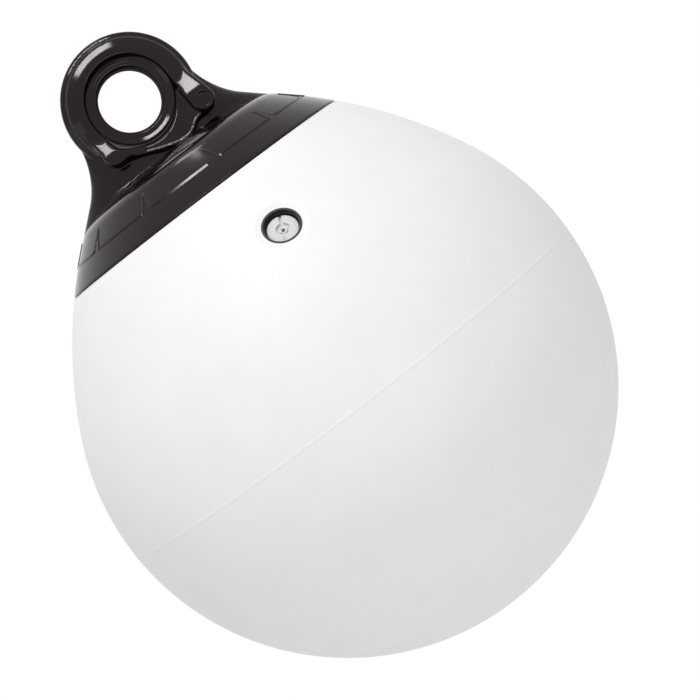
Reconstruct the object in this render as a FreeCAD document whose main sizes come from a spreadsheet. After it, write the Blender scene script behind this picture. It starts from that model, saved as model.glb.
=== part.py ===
import FreeCAD, Part
import math
import os
import Sketcher

# Inflatable mooring buoy: a hollow vinyl ball, a moulded rope eye bonded over
# its neck, and an inflation valve that a slotted plug closes.
# The frame has its origin at the centre of the eye's hole, +Z up along the
# buoy's axis and the hole along Y. The valve is on the -Y side.
# Lengths are in millimetres and angles in degrees. A drop is a distance below
# the origin, and a depth is a distance below the bag's skin at the valve.

SIZES = {
    # The air bag: a ball that a wide shoulder arc draws up into the neck
    "ball_radius": 150.0,
    "ball_drop": 198.5,
    "shoulder_latitude": 26.0,
    "shoulder_radius": 270.0,
    "bag_wall": 3.0,
    "crown_cover": 10.5,
    "crown_radius": 282.0,
    "seam_below_centre": 2.5,
    "seam_bead_radius": 1.0,
    "seam_bead_height": 0.45,
    # The skirt of the rope eye, let into the bag's shoulder
    "skirt_run": 20.1,
    "skirt_wall": 3.0,
    # The rope eye
    "hole_radius": 17.5,
    "bore_half_length": 7.5,
    "lip_radius": 1.5,
    "lip_land": 1.5,
    "dish_radius": 24.5,
    "dish_rise": 2.5,
    "bead_ring_radius": 28.8,
    "bead_radius": 5.0,
    "web_half": 6.0,
    "rim_round": 2.0,
    "eye_radius": 38.3,
    # The neck between the eye and the skirt
    "side_fillet": 43.0,
    "side_slope": 48.6,
    "neck_half": 15.0,
    "neck_foot_half": 22.0,
    "neck_foot_bury": 14.5,
    "neck_foot_tuck": 3.0,
    "web_tuck": 0.8,
    "web_tuck_run": 23.0,
    # The low dome that closes the round skirt round the neck
    "slope_run": 3.9,
    "dome_round": 20.0,
    "dome_lean": 78.4,
    # The toothed ridge round the skirt
    "ridge_below_slope": 7.3,
    "ridge_radius": 0.9,
    "ridge_height": 0.5,
    "tooth_rise": 8.9,
    "tooth_half_turn": 2.1,
    "tooth_azimuth": 8.3,
    # The pad under the hole and the feet at the ends of the bead
    "pad_top_drop": 14.0,
    "pad_side_drop": 28.5,
    "pad_foot_drop": 37.0,
    "pad_half_width": 31.0,
    "pad_top_half": 10.5,
    "pad_foot_half": 18.5,
    "foot_spread": 28.2,
    "foot_shift": 1.6,
    "foot_drop": 23.0,
    "foot_reach": 14.8,
    "foot_radius": 5.8,
    "leg_top_spread": 27.5,
    "leg_top_drop": 6.0,
    "leg_top_reach": 8.6,
    "leg_top_radius": 4.8,
    # Where the valve sits on the bag's shoulder
    "valve_elevation": 32.9,
    "valve_azimuth": 7.4,
    "valve_dish_radius": 13.5,
    "valve_dish_depth": 0.8,
    # The valve body, moulded into a boss of the bag's wall
    "boss_radius": 16.0,
    "boss_depth": 9.0,
    "boss_bury": 1.6,
    "body_radius": 10.75,
    "body_rim_depth": 0.9,
    "cup_radius": 9.75,
    "cup_step_depth": 2.6,
    "cup_inner_radius": 9.2,
    "cup_floor_depth": 7.4,
    "thread_bore_radius": 5.05,
    "body_flange_thickness": 2.5,
    "nose_radius": 8.0,
    "nose_depth": 20.0,
    # The plug, its washer and the rubber core that a pump's needle pierces
    "running_gap": 0.08,
    "seat_gap": 0.05,
    "washer_thickness": 0.9,
    "washer_inner_radius": 5.6,
    "head_radius": 8.65,
    "head_thickness": 2.2,
    "head_chamfer": 0.5,
    "counterbore_radius": 3.8,
    "counterbore_depth": 1.5,
    "needle_boss_radius": 2.2,
    "needle_boss_below_head": 0.6,
    "needle_hole_radius": 1.1,
    "shank_end_depth": 17.5,
    "shank_chamfer": 0.8,
    "core_radius": 2.6,
    "core_length": 5.0,
    "slot_width": 1.8,
    "slot_depth": 1.3,
    "slot_turn": 65.0,
}

# Sizes that follow from the others: how far below the hole's centre, or out from the
# buoy's axis, the straight slope starts, and what is placed from there
DERIVED = {
    "slope_drop": "=ball_drop + (shoulder_radius - ball_radius) * sin(shoulder_latitude)"
                  " - shoulder_radius * sin(side_slope)",
    "slope_reach": "=shoulder_radius * cos(side_slope)"
                   " - (shoulder_radius - ball_radius) * cos(shoulder_latitude)",
    "skirt_drop": "=slope_drop + skirt_run",
    "dome_reach": "=slope_reach - slope_run * sin(side_slope)"
                 " - dome_round * (cos(side_slope) - cos(dome_lean))",
    "dome_edge_drop": "=slope_drop - slope_run * cos(side_slope)"
                " - dome_round * (sin(dome_lean) - sin(side_slope))",
    "dome_radius": "=dome_reach / cos(dome_lean)",
    "dome_drop": "=dome_edge_drop - dome_radius * (1 - sin(dome_lean))",
    "crown_drop": "=dome_drop + crown_cover",
    "neck_foot_drop": "=dome_drop + neck_foot_bury",
    "ridge_drop": "=slope_drop + ridge_below_slope",
    "tooth_top_drop": "=ridge_drop - tooth_rise",
}

FULL_TURN = 360.0
NECK_SECTIONS = 11
TOOTH_COUNT = 11
OUTPUT_FOLDER = "parts"


class Length:
    """A length in millimetres, with the sheet expression that gives it."""

    def __init__(self, value, text):
        self.value = value
        self.text = text

    def __add__(self, other):
        return Length(self.value + other.value, "(" + self.text + " + " + other.text + ")")

    def __sub__(self, other):
        return Length(self.value - other.value, "(" + self.text + " - " + other.text + ")")


def length(name):
    return Length(SIZES[name], "Sizes." + name)


ZERO = Length(0.0, "0")

document = FreeCAD.newDocument("MooringBuoy")
sheet = document.addObject("Spreadsheet::Sheet", "Sizes")
for row, (size_name, size_value) in enumerate(SIZES.items(), start=1):
    sheet.set("A" + str(row), size_name)
    sheet.set("B" + str(row), str(size_value))
    sheet.setAlias("B" + str(row), size_name)
for row, (size_name, formula) in enumerate(DERIVED.items(), start=len(SIZES) + 1):
    sheet.set("A" + str(row), size_name)
    sheet.set("B" + str(row), formula)
    sheet.setAlias("B" + str(row), size_name)
document.recompute()
for size_name in DERIVED:
    SIZES[size_name] = float(sheet.get(size_name))


# Bodies, sketches and features

def new_body(label):
    body = document.addObject("PartDesign::Body", label)
    body.Label = label
    return body


def origin_plane(body, role):
    for feature in body.Origin.OriginFeatures:
        if feature.Role == role:
            return feature
    raise ValueError("no origin plane called " + role)


def new_sketch(body, name, role, offset=None):
    sketch = body.newObject("Sketcher::SketchObject", name)
    sketch.AttachmentSupport = [(origin_plane(body, role), "")]
    sketch.MapMode = "FlatFace"
    if offset is not None:
        sketch.AttachmentOffset = offset
    return sketch


def point(x, y):
    return FreeCAD.Vector(x, y, 0)


def draw_line(sketch, start, end):
    return sketch.addGeometry(Part.LineSegment(point(*start), point(*end)), False)


def draw_arc(sketch, centre, radius, start_angle, end_angle):
    """Adds the arc that runs anticlockwise between two angles, in degrees."""
    circle = Part.Circle(point(*centre), FreeCAD.Vector(0, 0, 1), radius)
    arc = Part.ArcOfCircle(circle, math.radians(start_angle), math.radians(end_angle))
    return sketch.addGeometry(arc, False)


def draw_circle(sketch, centre, radius):
    circle = Part.Circle(point(*centre), FreeCAD.Vector(0, 0, 1), radius)
    return sketch.addGeometry(circle, False)


def join(sketch, first, first_end, second, second_end):
    sketch.addConstraint(Sketcher.Constraint("Coincident", first, first_end, second, second_end))


def bind(sketch, name, wanted, *what):
    """Adds a dimension and ties it to the sheet."""
    index = sketch.addConstraint(Sketcher.Constraint(*what, wanted.value))
    sketch.renameConstraint(index, name)
    sketch.setExpression("Constraints." + name, wanted.text)


def revolve(body, kind, name, sketch, axis):
    feature = body.newObject("PartDesign::" + kind, name)
    feature.Profile = sketch
    feature.ReferenceAxis = (sketch, [axis])
    feature.Angle = FULL_TURN
    body.Tip = feature
    document.recompute()
    return feature


def turn_profile(sketch, corners):
    """Draws a closed outline through corners given as a radius and a depth."""
    places = [(radius.value, -depth.value) for radius, depth in corners]
    lines = []
    for index, start in enumerate(places):
        lines.append(draw_line(sketch, start, places[(index + 1) % len(places)]))
    for index, line in enumerate(lines):
        join(sketch, line, 2, lines[(index + 1) % len(lines)], 1)
    for index, (radius, depth) in enumerate(corners):
        if radius.value == 0:
            sketch.addConstraint(Sketcher.Constraint("PointOnObject", lines[index], 1, -2))
        else:
            bind(sketch, "radius" + str(index), radius, "DistanceX", -1, 1, lines[index], 1)
        bind(sketch, "depth" + str(index), depth, "DistanceY", lines[index], 1, -1, 1)


def turned_body(label, corners):
    body = new_body(label)
    sketch = new_sketch(body, label + "_profile", "XZ_Plane")
    turn_profile(sketch, corners)
    revolve(body, "Revolution", label + "_turning", sketch, "V_Axis")
    return body


# The bag's outline, half of its section from the ball's pole to the crown

SHOULDER_LATITUDE = math.radians(SIZES["shoulder_latitude"])
SHOULDER_OFFSET = SIZES["shoulder_radius"] - SIZES["ball_radius"]
SHOULDER_X = -SHOULDER_OFFSET * math.cos(SHOULDER_LATITUDE)
SHOULDER_Z = -SIZES["ball_drop"] - SHOULDER_OFFSET * math.sin(SHOULDER_LATITUDE)


def shoulder_radius_at(height, inset=0.0):
    """Distance from the buoy's axis to the shoulder arc at a height."""
    radius = SIZES["shoulder_radius"] - inset
    return SHOULDER_X + math.sqrt(radius ** 2 - (height - SHOULDER_Z) ** 2)


def shoulder_angle_at(height, inset=0.0):
    """Angle in degrees of the shoulder arc's radius at a height."""
    radius = SIZES["shoulder_radius"] - inset
    return math.degrees(math.asin((height - SHOULDER_Z) / radius))


def meeting_height(inset):
    """Height at which the crown's arc meets the neck's arc."""
    neck_radius = SIZES["shoulder_radius"] - inset - SIZES["skirt_wall"]
    crown_radius = SIZES["crown_radius"] - inset
    crown_z = -SIZES["crown_drop"] - SIZES["crown_radius"]
    run_x = -SHOULDER_X
    run_z = crown_z - SHOULDER_Z
    span = math.hypot(run_x, run_z)
    along = (neck_radius ** 2 - crown_radius ** 2 + span ** 2) / (2 * span)
    aside = math.sqrt(neck_radius ** 2 - along ** 2)
    return SHOULDER_Z + (along * run_z + aside * run_x) / span


def bag_outline(body, name, inset):
    """Draws the closed half section of the bag, smaller all round by inset."""
    sketch = new_sketch(body, name, "XZ_Plane")
    ball_drop = SIZES["ball_drop"]
    ball_radius = length("ball_radius") - inset
    shoulder_radius = length("shoulder_radius") - inset
    neck_radius = shoulder_radius - length("skirt_wall")
    crown_radius = length("crown_radius") - inset
    crown_drop = length("crown_drop") + inset
    skirt_drop = length("skirt_drop") + inset
    gap = inset.value
    shoulder_centre = (SHOULDER_X, SHOULDER_Z)
    edge = -skirt_drop.value
    neck_top = meeting_height(gap)
    neck_top_radius = shoulder_radius_at(neck_top, gap + SIZES["skirt_wall"])
    crown_centre = (0.0, -SIZES["crown_drop"] - SIZES["crown_radius"])
    crown_angle = math.degrees(math.acos(neck_top_radius / crown_radius.value))

    ball = draw_arc(sketch, (0, -ball_drop), ball_radius.value, -90, SIZES["shoulder_latitude"])
    shoulder = draw_arc(sketch, shoulder_centre, shoulder_radius.value,
                        SIZES["shoulder_latitude"], shoulder_angle_at(edge, gap))
    step = draw_line(sketch, (shoulder_radius_at(edge, gap), edge),
                     (shoulder_radius_at(edge, gap + SIZES["skirt_wall"]), edge))
    neck = draw_arc(sketch, shoulder_centre, neck_radius.value,
                    shoulder_angle_at(edge, gap + SIZES["skirt_wall"]),
                    shoulder_angle_at(neck_top, gap + SIZES["skirt_wall"]))
    crown = draw_arc(sketch, crown_centre, crown_radius.value, crown_angle, 90)
    axis = draw_line(sketch, (0, -crown_drop.value), (0, -ball_drop - ball_radius.value))

    sketch.addConstraint(Sketcher.Constraint("Tangent", ball, 2, shoulder, 1))
    join(sketch, shoulder, 2, step, 1)
    join(sketch, step, 2, neck, 1)
    join(sketch, neck, 2, crown, 1)
    join(sketch, crown, 2, axis, 1)
    join(sketch, axis, 2, ball, 1)
    sketch.addConstraint(Sketcher.Constraint("Vertical", axis))
    sketch.addConstraint(Sketcher.Constraint("PointOnObject", axis, 1, -2))
    sketch.addConstraint(Sketcher.Constraint("PointOnObject", ball, 3, -2))
    sketch.addConstraint(Sketcher.Constraint("PointOnObject", crown, 3, -2))
    sketch.addConstraint(Sketcher.Constraint("Horizontal", step))
    join(sketch, shoulder, 3, neck, 3)
    bind(sketch, "ball_radius", ball_radius, "Radius", ball)
    bind(sketch, "ball_drop", length("ball_drop"), "DistanceY", ball, 3, -1, 1)
    bind(sketch, "shoulder_radius", shoulder_radius, "Radius", shoulder)
    bind(sketch, "neck_radius", neck_radius, "Radius", neck)
    bind(sketch, "skirt_drop", skirt_drop, "DistanceY", step, 1, -1, 1)
    bind(sketch, "crown_radius", crown_radius, "Radius", crown)
    bind(sketch, "crown_drop", crown_drop, "DistanceY", axis, 1, -1, 1)
    tangent_reach = "(" + ball_radius.text + ") * cos(Sizes.shoulder_latitude)"
    tangent_radius = Length(ball_radius.value * math.cos(SHOULDER_LATITUDE), tangent_reach)
    bind(sketch, "tangent_radius", tangent_radius, "DistanceX", -1, 1, ball, 2)
    return sketch


# The valve's own frame: its origin on the bag's skin, its Z axis outward

def valve_placement():
    elevation = math.radians(SIZES["valve_elevation"])
    azimuth = math.radians(SIZES["valve_azimuth"])
    radius = SHOULDER_X + SIZES["shoulder_radius"] * math.cos(elevation)
    height = SHOULDER_Z + SIZES["shoulder_radius"] * math.sin(elevation)
    place = FreeCAD.Vector(radius * math.sin(azimuth), -radius * math.cos(azimuth), height)
    level = FreeCAD.Vector(math.cos(azimuth), math.sin(azimuth), 0)
    swing = FreeCAD.Rotation(FreeCAD.Vector(0, 0, 1), SIZES["valve_azimuth"])
    tilt = FreeCAD.Rotation(level, 90 - SIZES["valve_elevation"])
    return FreeCAD.Placement(place, tilt.multiply(swing))


VALVE = valve_placement()


def valve_plane(depth):
    """The plane across the valve's axis at a depth below the skin."""
    return VALVE.multiply(FreeCAD.Placement(FreeCAD.Vector(0, 0, -depth), FreeCAD.Rotation()))


def valve_section_plane():
    """The plane that holds the valve's axis, with the axis upright in it."""
    upright = FreeCAD.Rotation(FreeCAD.Vector(1, 0, 0), 90)
    return VALVE.multiply(FreeCAD.Placement(FreeCAD.Vector(0, 0, 0), upright))


# The air bag

def build_air_bag():
    body = new_body("air_bag")
    outside = bag_outline(body, "bag_outside", ZERO)
    revolve(body, "Revolution", "bag_ball", outside, "V_Axis")

    seam = new_sketch(body, "bag_seam_section", "XZ_Plane")
    bead_radius = length("seam_bead_radius")
    ring_radius = length("ball_radius") + length("seam_bead_height") - bead_radius
    seam_drop = length("ball_drop") + length("seam_below_centre")
    bead = draw_circle(seam, (ring_radius.value, -seam_drop.value), bead_radius.value)
    bind(seam, "bead_radius", bead_radius, "Radius", bead)
    bind(seam, "ring_radius", ring_radius, "DistanceX", -1, 1, bead, 3)
    bind(seam, "seam_drop", seam_drop, "DistanceY", bead, 3, -1, 1)
    revolve(body, "Revolution", "bag_seam", seam, "V_Axis")

    inside = bag_outline(body, "bag_inside", length("bag_wall"))
    revolve(body, "Groove", "bag_hollow", inside, "V_Axis")

    boss_sketch = new_sketch(body, "valve_boss_circle", "XY_Plane", valve_plane(SIZES["boss_depth"]))
    circle = draw_circle(boss_sketch, (0, 0), SIZES["boss_radius"])
    join(boss_sketch, circle, 3, -1, 1)
    bind(boss_sketch, "boss_radius", length("boss_radius"), "Radius", circle)
    boss = body.newObject("PartDesign::Pad", "valve_boss")
    boss.Profile = boss_sketch
    boss.Length = SIZES["boss_depth"] - SIZES["boss_bury"]
    boss.setExpression("Length", "Sizes.boss_depth - Sizes.boss_bury")
    body.Tip = boss
    document.recompute()

    dish_sketch = new_sketch(body, "valve_dish_section", "XY_Plane", valve_section_plane())
    reach = SIZES["valve_dish_radius"]
    depth = SIZES["valve_dish_depth"]
    hollow_radius = (reach ** 2 + depth ** 2) / (2 * depth)
    half_angle = math.degrees(math.asin(reach / hollow_radius))
    centre = (0, hollow_radius - depth - sag_at(reach))
    bowl = draw_arc(dish_sketch, centre, hollow_radius, -90, -90 + half_angle)
    lowest = (0, centre[1] - hollow_radius)
    rim = (reach, centre[1] - hollow_radius * math.cos(math.radians(half_angle)))
    above = (reach, rim[1] + depth)
    top = (0, above[1])
    side = draw_line(dish_sketch, rim, above)
    lid = draw_line(dish_sketch, above, top)
    axis = draw_line(dish_sketch, top, lowest)
    join(dish_sketch, bowl, 2, side, 1)
    join(dish_sketch, side, 2, lid, 1)
    join(dish_sketch, lid, 2, axis, 1)
    join(dish_sketch, axis, 2, bowl, 1)
    bind(dish_sketch, "dish_radius", length("valve_dish_radius"), "DistanceX", -1, 1, side, 1)
    revolve(body, "Groove", "valve_dish", dish_sketch, "V_Axis")

    hole_sketch = new_sketch(body, "valve_hole_circle", "XY_Plane", valve_plane(-SIZES["boss_depth"]))
    circle = draw_circle(hole_sketch, (0, 0), SIZES["body_radius"])
    join(hole_sketch, circle, 3, -1, 1)
    bind(hole_sketch, "hole_radius", length("body_radius"), "Radius", circle)
    hole = body.newObject("PartDesign::Pocket", "valve_hole")
    hole.Profile = hole_sketch
    hole.Length = 3 * SIZES["boss_depth"]
    hole.setExpression("Length", "3 * Sizes.boss_depth")
    body.Tip = hole
    document.recompute()
    return body


def sag_at(reach):
    """How far the bag's skin falls away at a distance from the valve's axis."""
    mean_radius = (SIZES["ball_radius"] + SIZES["shoulder_radius"]) / 2
    return mean_radius - math.sqrt(mean_radius ** 2 - reach ** 2)


# The rope eye with its neck and skirt

def smooth_step(share):
    share = min(max(share, 0.0), 1.0)
    return share * share * (3 - 2 * share)


def side_fillet_centre_height():
    """Height of the side fillet's centre, tangent to the eye and the slope."""
    slope = math.radians(SIZES["side_slope"])
    start_x = SIZES["slope_reach"]
    start_z = -SIZES["slope_drop"]
    end_x = SIZES["eye_radius"] + SIZES["side_fillet"] * (1 - math.cos(slope))
    end_z = start_z + (start_x - end_x) / math.tan(slope)
    return end_z + SIZES["side_fillet"] * math.sin(slope)


def neck_half_width(height):
    """Half the neck's width in the eye's plane, seen from the front."""
    slope = math.radians(SIZES["side_slope"])
    start_x = SIZES["slope_reach"]
    start_z = -SIZES["slope_drop"]
    fillet_z = side_fillet_centre_height()
    fillet = SIZES["side_fillet"]
    if height <= start_z:
        return shoulder_radius_at(height)
    if height <= fillet_z - fillet * math.sin(slope):
        return start_x - (height - start_z) * math.tan(slope)
    fall = fillet_z - height
    return SIZES["eye_radius"] + fillet - math.sqrt(fillet ** 2 - fall ** 2)


def neck_half_depth(height):
    """Half the neck's depth across the eye, from the web down into the dome."""
    top = side_fillet_centre_height()
    middle = -SIZES["dome_drop"]
    foot = -SIZES["neck_foot_drop"]
    thicken = smooth_step((top - height) / (top - middle))
    base = SIZES["web_half"] + (SIZES["neck_half"] - SIZES["web_half"]) * thicken
    share = min(max((middle - height) / (middle - foot), 0.0), 1.0)
    return base + (SIZES["neck_foot_half"] - SIZES["neck_half"]) * share


def build_pad(body):
    """The wedge under the hole: a plan outline cut back by two slopes."""
    plan = new_sketch(body, "pad_plan", "XZ_Plane")
    half_width = SIZES["pad_half_width"]
    shift = SIZES["foot_shift"]
    top = -SIZES["pad_top_drop"]
    side = -SIZES["pad_side_drop"]
    sag = SIZES["pad_foot_drop"] - SIZES["pad_side_drop"]
    radius = (half_width ** 2 + sag ** 2) / (2 * sag)
    half_angle = math.degrees(math.asin(half_width / radius))
    centre = (shift, -SIZES["pad_foot_drop"] + radius)
    left = shift - half_width
    right = shift + half_width
    bottom = draw_arc(plan, centre, radius, -90 - half_angle, -90 + half_angle)
    right_side = draw_line(plan, (right, side), (right, top))
    lid = draw_line(plan, (right, top), (left, top))
    left_side = draw_line(plan, (left, top), (left, side))
    join(plan, bottom, 2, right_side, 1)
    join(plan, right_side, 2, lid, 1)
    join(plan, lid, 2, left_side, 1)
    join(plan, left_side, 2, bottom, 1)
    plan.addConstraint(Sketcher.Constraint("Vertical", right_side))
    plan.addConstraint(Sketcher.Constraint("Vertical", left_side))
    plan.addConstraint(Sketcher.Constraint("Horizontal", lid))
    pad_width = Length(2 * half_width, "2 * Sizes.pad_half_width")
    bind(plan, "pad_width", pad_width, "DistanceX", lid, 2, lid, 1)
    bind(plan, "pad_top_drop", length("pad_top_drop"), "DistanceY", lid, 1, -1, 1)
    bind(plan, "pad_side_drop", length("pad_side_drop"), "DistanceY", right_side, 1, -1, 1)
    slab = body.newObject("PartDesign::Pad", "pad_slab")
    slab.Profile = plan
    slab.Midplane = True
    slab.Length = 2 * SIZES["pad_foot_half"]
    slab.setExpression("Length", "2 * Sizes.pad_foot_half")
    body.Tip = slab
    document.recompute()

    for face, name in ((1, "back"), (-1, "front")):
        slope = new_sketch(body, "pad_slope_" + name, "YZ_Plane")
        inner_top = (face * SIZES["pad_top_half"], top)
        foot = (face * SIZES["pad_foot_half"], -SIZES["pad_foot_drop"])
        outer_foot = (face * 2 * SIZES["pad_foot_half"], -SIZES["pad_foot_drop"])
        outer_top = (face * 2 * SIZES["pad_foot_half"], top)
        corners = [inner_top, foot, outer_foot, outer_top]
        lines = [draw_line(slope, corners[i], corners[(i + 1) % 4]) for i in range(4)]
        for index, line in enumerate(lines):
            join(slope, line, 2, lines[(index + 1) % 4], 1)
        cut = body.newObject("PartDesign::Pocket", "pad_cut_" + name)
        cut.Profile = slope
        cut.Midplane = True
        cut.Length = 4 * SIZES["pad_half_width"]
        body.Tip = cut
        document.recompute()


def build_neck(body):
    """The neck, lofted through ellipses from the eye down into the dome."""
    top = side_fillet_centre_height()
    foot = -SIZES["neck_foot_drop"]
    tuck_start = -(SIZES["dome_drop"] + SIZES["neck_foot_drop"]) / 2
    sections = []
    for index in range(NECK_SECTIONS):
        height = top + (foot - top) * index / (NECK_SECTIONS - 1)
        web_tuck = SIZES["web_tuck"] * (1 - smooth_step((top - height) / SIZES["web_tuck_run"]))
        foot_tuck = SIZES["neck_foot_tuck"] * smooth_step((tuck_start - height) / (tuck_start - foot))
        half_width = neck_half_width(height) - web_tuck - foot_tuck
        level = FreeCAD.Placement(FreeCAD.Vector(0, 0, height), FreeCAD.Rotation())
        sketch = new_sketch(body, "neck_section_" + str(index), "XY_Plane", level)
        side = point(half_width, 0)
        front = point(0, neck_half_depth(height))
        sketch.addGeometry(Part.Ellipse(side, front, point(0, 0)), False)
        sections.append(sketch)
    document.recompute()
    neck = body.newObject("PartDesign::AdditiveLoft", "neck")
    neck.Profile = sections[0]
    neck.Sections = sections[1:]
    neck.Ruled = False
    neck.Closed = False
    body.Tip = neck
    document.recompute()


def build_skirt(body):
    """The round skirt over the bag's shoulder, closed by a low dome."""
    sketch = new_sketch(body, "skirt_section", "XZ_Plane")
    slope = SIZES["side_slope"]
    edge = -SIZES["skirt_drop"]
    shoulder = SIZES["shoulder_radius"]
    rounding = SIZES["dome_round"]
    lean = SIZES["dome_lean"]
    dome = SIZES["dome_radius"]
    dome_centre = (0.0, -SIZES["dome_drop"] - dome)
    cosine = math.cos(math.radians(slope))
    sine = math.sin(math.radians(slope))
    slope_foot = (SIZES["slope_reach"], -SIZES["slope_drop"])
    slope_top = (slope_foot[0] - SIZES["slope_run"] * sine, slope_foot[1] + SIZES["slope_run"] * cosine)
    corner = (slope_top[0] - rounding * cosine, slope_top[1] - rounding * sine)
    skirt = draw_arc(sketch, (SHOULDER_X, SHOULDER_Z), shoulder, shoulder_angle_at(edge), slope)
    cone = draw_line(sketch, slope_foot, slope_top)
    bend = draw_arc(sketch, corner, rounding, slope, lean)
    crown = draw_arc(sketch, dome_centre, dome, lean, 90)
    axis = draw_line(sketch, (0, -SIZES["dome_drop"]), (0, edge))
    floor = draw_line(sketch, (0, edge), (shoulder_radius_at(edge), edge))
    sketch.addConstraint(Sketcher.Constraint("Tangent", skirt, 2, cone, 1))
    sketch.addConstraint(Sketcher.Constraint("Tangent", cone, 2, bend, 1))
    sketch.addConstraint(Sketcher.Constraint("Tangent", bend, 2, crown, 1))
    join(sketch, crown, 2, axis, 1)
    join(sketch, axis, 2, floor, 1)
    join(sketch, floor, 2, skirt, 1)
    sketch.addConstraint(Sketcher.Constraint("Horizontal", floor))
    sketch.addConstraint(Sketcher.Constraint("PointOnObject", axis, 1, -2))
    sketch.addConstraint(Sketcher.Constraint("PointOnObject", axis, 2, -2))
    sketch.addConstraint(Sketcher.Constraint("PointOnObject", crown, 3, -2))
    bind(sketch, "shoulder_radius", length("shoulder_radius"), "Radius", skirt)
    bind(sketch, "dome_radius", length("dome_radius"), "Radius", crown)
    bind(sketch, "dome_round", length("dome_round"), "Radius", bend)
    bind(sketch, "dome_drop", length("dome_drop"), "DistanceY", axis, 1, -1, 1)
    bind(sketch, "skirt_drop", length("skirt_drop"), "DistanceY", axis, 2, -1, 1)
    revolve(body, "Revolution", "skirt", sketch, "V_Axis")


def ridge_place(height, azimuth):
    """Where the ridge's centre line lies under the skirt's skin."""
    slope = SIZES["side_slope"]
    if height < -SIZES["slope_drop"]:
        slope = shoulder_angle_at(height)
    sunk = SIZES["ridge_radius"] - SIZES["ridge_height"]
    radius = neck_half_width(height) - sunk * math.cos(math.radians(slope))
    turn = math.radians(azimuth)
    return FreeCAD.Vector(radius * math.sin(turn), -radius * math.cos(turn),
                          height - sunk * math.sin(math.radians(slope)))


def build_ridge(body):
    """The raised line round the skirt, with a narrow tooth in each division."""
    division = FULL_TURN / TOOTH_COUNT
    azimuth = SIZES["tooth_azimuth"]
    half_turn = SIZES["tooth_half_turn"]
    ridge_z = -SIZES["ridge_drop"]
    between = ridge_place(ridge_z, 0.0)
    swing = FreeCAD.Rotation(FreeCAD.Vector(0, 1, 0), azimuth + division / 2 - 90)
    sketch = new_sketch(body, "ridge_section", "XZ_Plane", FreeCAD.Placement(FreeCAD.Vector(0, 0, 0), swing))
    bead = draw_circle(sketch, (-between.y, between.z), SIZES["ridge_radius"])
    bind(sketch, "ridge_radius", length("ridge_radius"), "Radius", bead)
    line = body.newObject("PartDesign::Revolution", "ridge_line")
    line.Profile = sketch
    line.ReferenceAxis = (sketch, ["V_Axis"])
    line.Midplane = True
    line.Angle = division - 2 * half_turn
    body.Tip = line
    document.recompute()

    top = ridge_place(-SIZES["tooth_top_drop"], azimuth)
    originals = [line]
    for side, name in ((-1, "left"), (1, "right")):
        foot = ridge_place(ridge_z, azimuth + side * half_turn)
        radius = SIZES["ridge_radius"]
        originals.append(round_bar(body, "tooth_" + name, foot, top, radius, radius))
    pattern = body.newObject("PartDesign::PolarPattern", "ridge")
    pattern.Originals = originals
    pattern.Axis = (sketch, ["V_Axis"])
    pattern.Angle = FULL_TURN
    pattern.Occurrences = TOOTH_COUNT
    body.Tip = pattern
    document.recompute()


def build_ring(body):
    """The ring round the hole: a web with a round bead standing on each face."""
    ring = new_sketch(body, "eye_ring_section", "XY_Plane")
    inner = SIZES["hole_radius"] / 2
    bead_top = SIZES["web_half"] + SIZES["bead_radius"] / 2
    bead_ring = SIZES["bead_ring_radius"]
    bead = SIZES["bead_radius"]
    seat = bead_top + bead / 2
    seat_angle = 180 - math.degrees(math.asin((seat - bead_top) / bead))
    seat_x = bead_ring + bead * math.cos(math.radians(seat_angle))
    web = SIZES["web_half"]
    eye = SIZES["eye_radius"]
    rim = SIZES["rim_round"]
    outline = [
        draw_line(ring, (inner, -seat), (inner, seat)),
        draw_line(ring, (inner, seat), (seat_x, seat)),
        draw_arc(ring, (bead_ring, bead_top), bead, 0, seat_angle),
        draw_line(ring, (bead_ring + bead, bead_top), (bead_ring + bead, web)),
        draw_line(ring, (bead_ring + bead, web), (eye - rim, web)),
        draw_arc(ring, (eye - rim, web - rim), rim, 0, 90),
        draw_line(ring, (eye, web - rim), (eye, rim - web)),
        draw_arc(ring, (eye - rim, rim - web), rim, -90, 0),
        draw_line(ring, (eye - rim, -web), (bead_ring + bead, -web)),
        draw_line(ring, (bead_ring + bead, -web), (bead_ring + bead, -bead_top)),
        draw_arc(ring, (bead_ring, -bead_top), bead, -seat_angle, 0),
        draw_line(ring, (seat_x, -seat), (inner, -seat)),
    ]
    # An arc starts at its clockwise end, so some arcs are met at their end first
    ends = [(1, 2), (1, 2), (2, 1), (1, 2), (1, 2), (2, 1), (1, 2), (2, 1), (1, 2), (1, 2), (2, 1), (1, 2)]
    for index, item in enumerate(outline):
        following = (index + 1) % len(outline)
        join(ring, item, ends[index][1], outline[following], ends[following][0])
    bind(ring, "eye_radius", length("eye_radius"), "DistanceX", -1, 1, outline[6], 1)
    bind(ring, "bead_radius", length("bead_radius"), "Radius", outline[2])
    revolve(body, "Revolution", "eye_ring", ring, "V_Axis")


def round_bar(body, name, start, end, small, large):
    """A bar that may taper, rounded at both its ends."""
    run = end.sub(start)
    turn = FreeCAD.Rotation(FreeCAD.Vector(0, 1, 0), run)
    sketch = new_sketch(body, name + "_section", "XY_Plane", FreeCAD.Placement(start, turn))
    lean = math.degrees(math.asin((large - small) / run.Length))
    cosine = math.cos(math.radians(lean))
    sine = math.sin(math.radians(lean))
    near_end = draw_arc(sketch, (0, 0), small, -90, -lean)
    flank = draw_line(sketch, (small * cosine, -small * sine), (large * cosine, run.Length - large * sine))
    far_end = draw_arc(sketch, (0, run.Length), large, -lean, 90)
    axis = draw_line(sketch, (0, run.Length + large), (0, -small))
    join(sketch, near_end, 2, flank, 1)
    join(sketch, flank, 2, far_end, 1)
    join(sketch, far_end, 2, axis, 1)
    join(sketch, axis, 2, near_end, 1)
    return revolve(body, "Revolution", name, sketch, "V_Axis")


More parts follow.
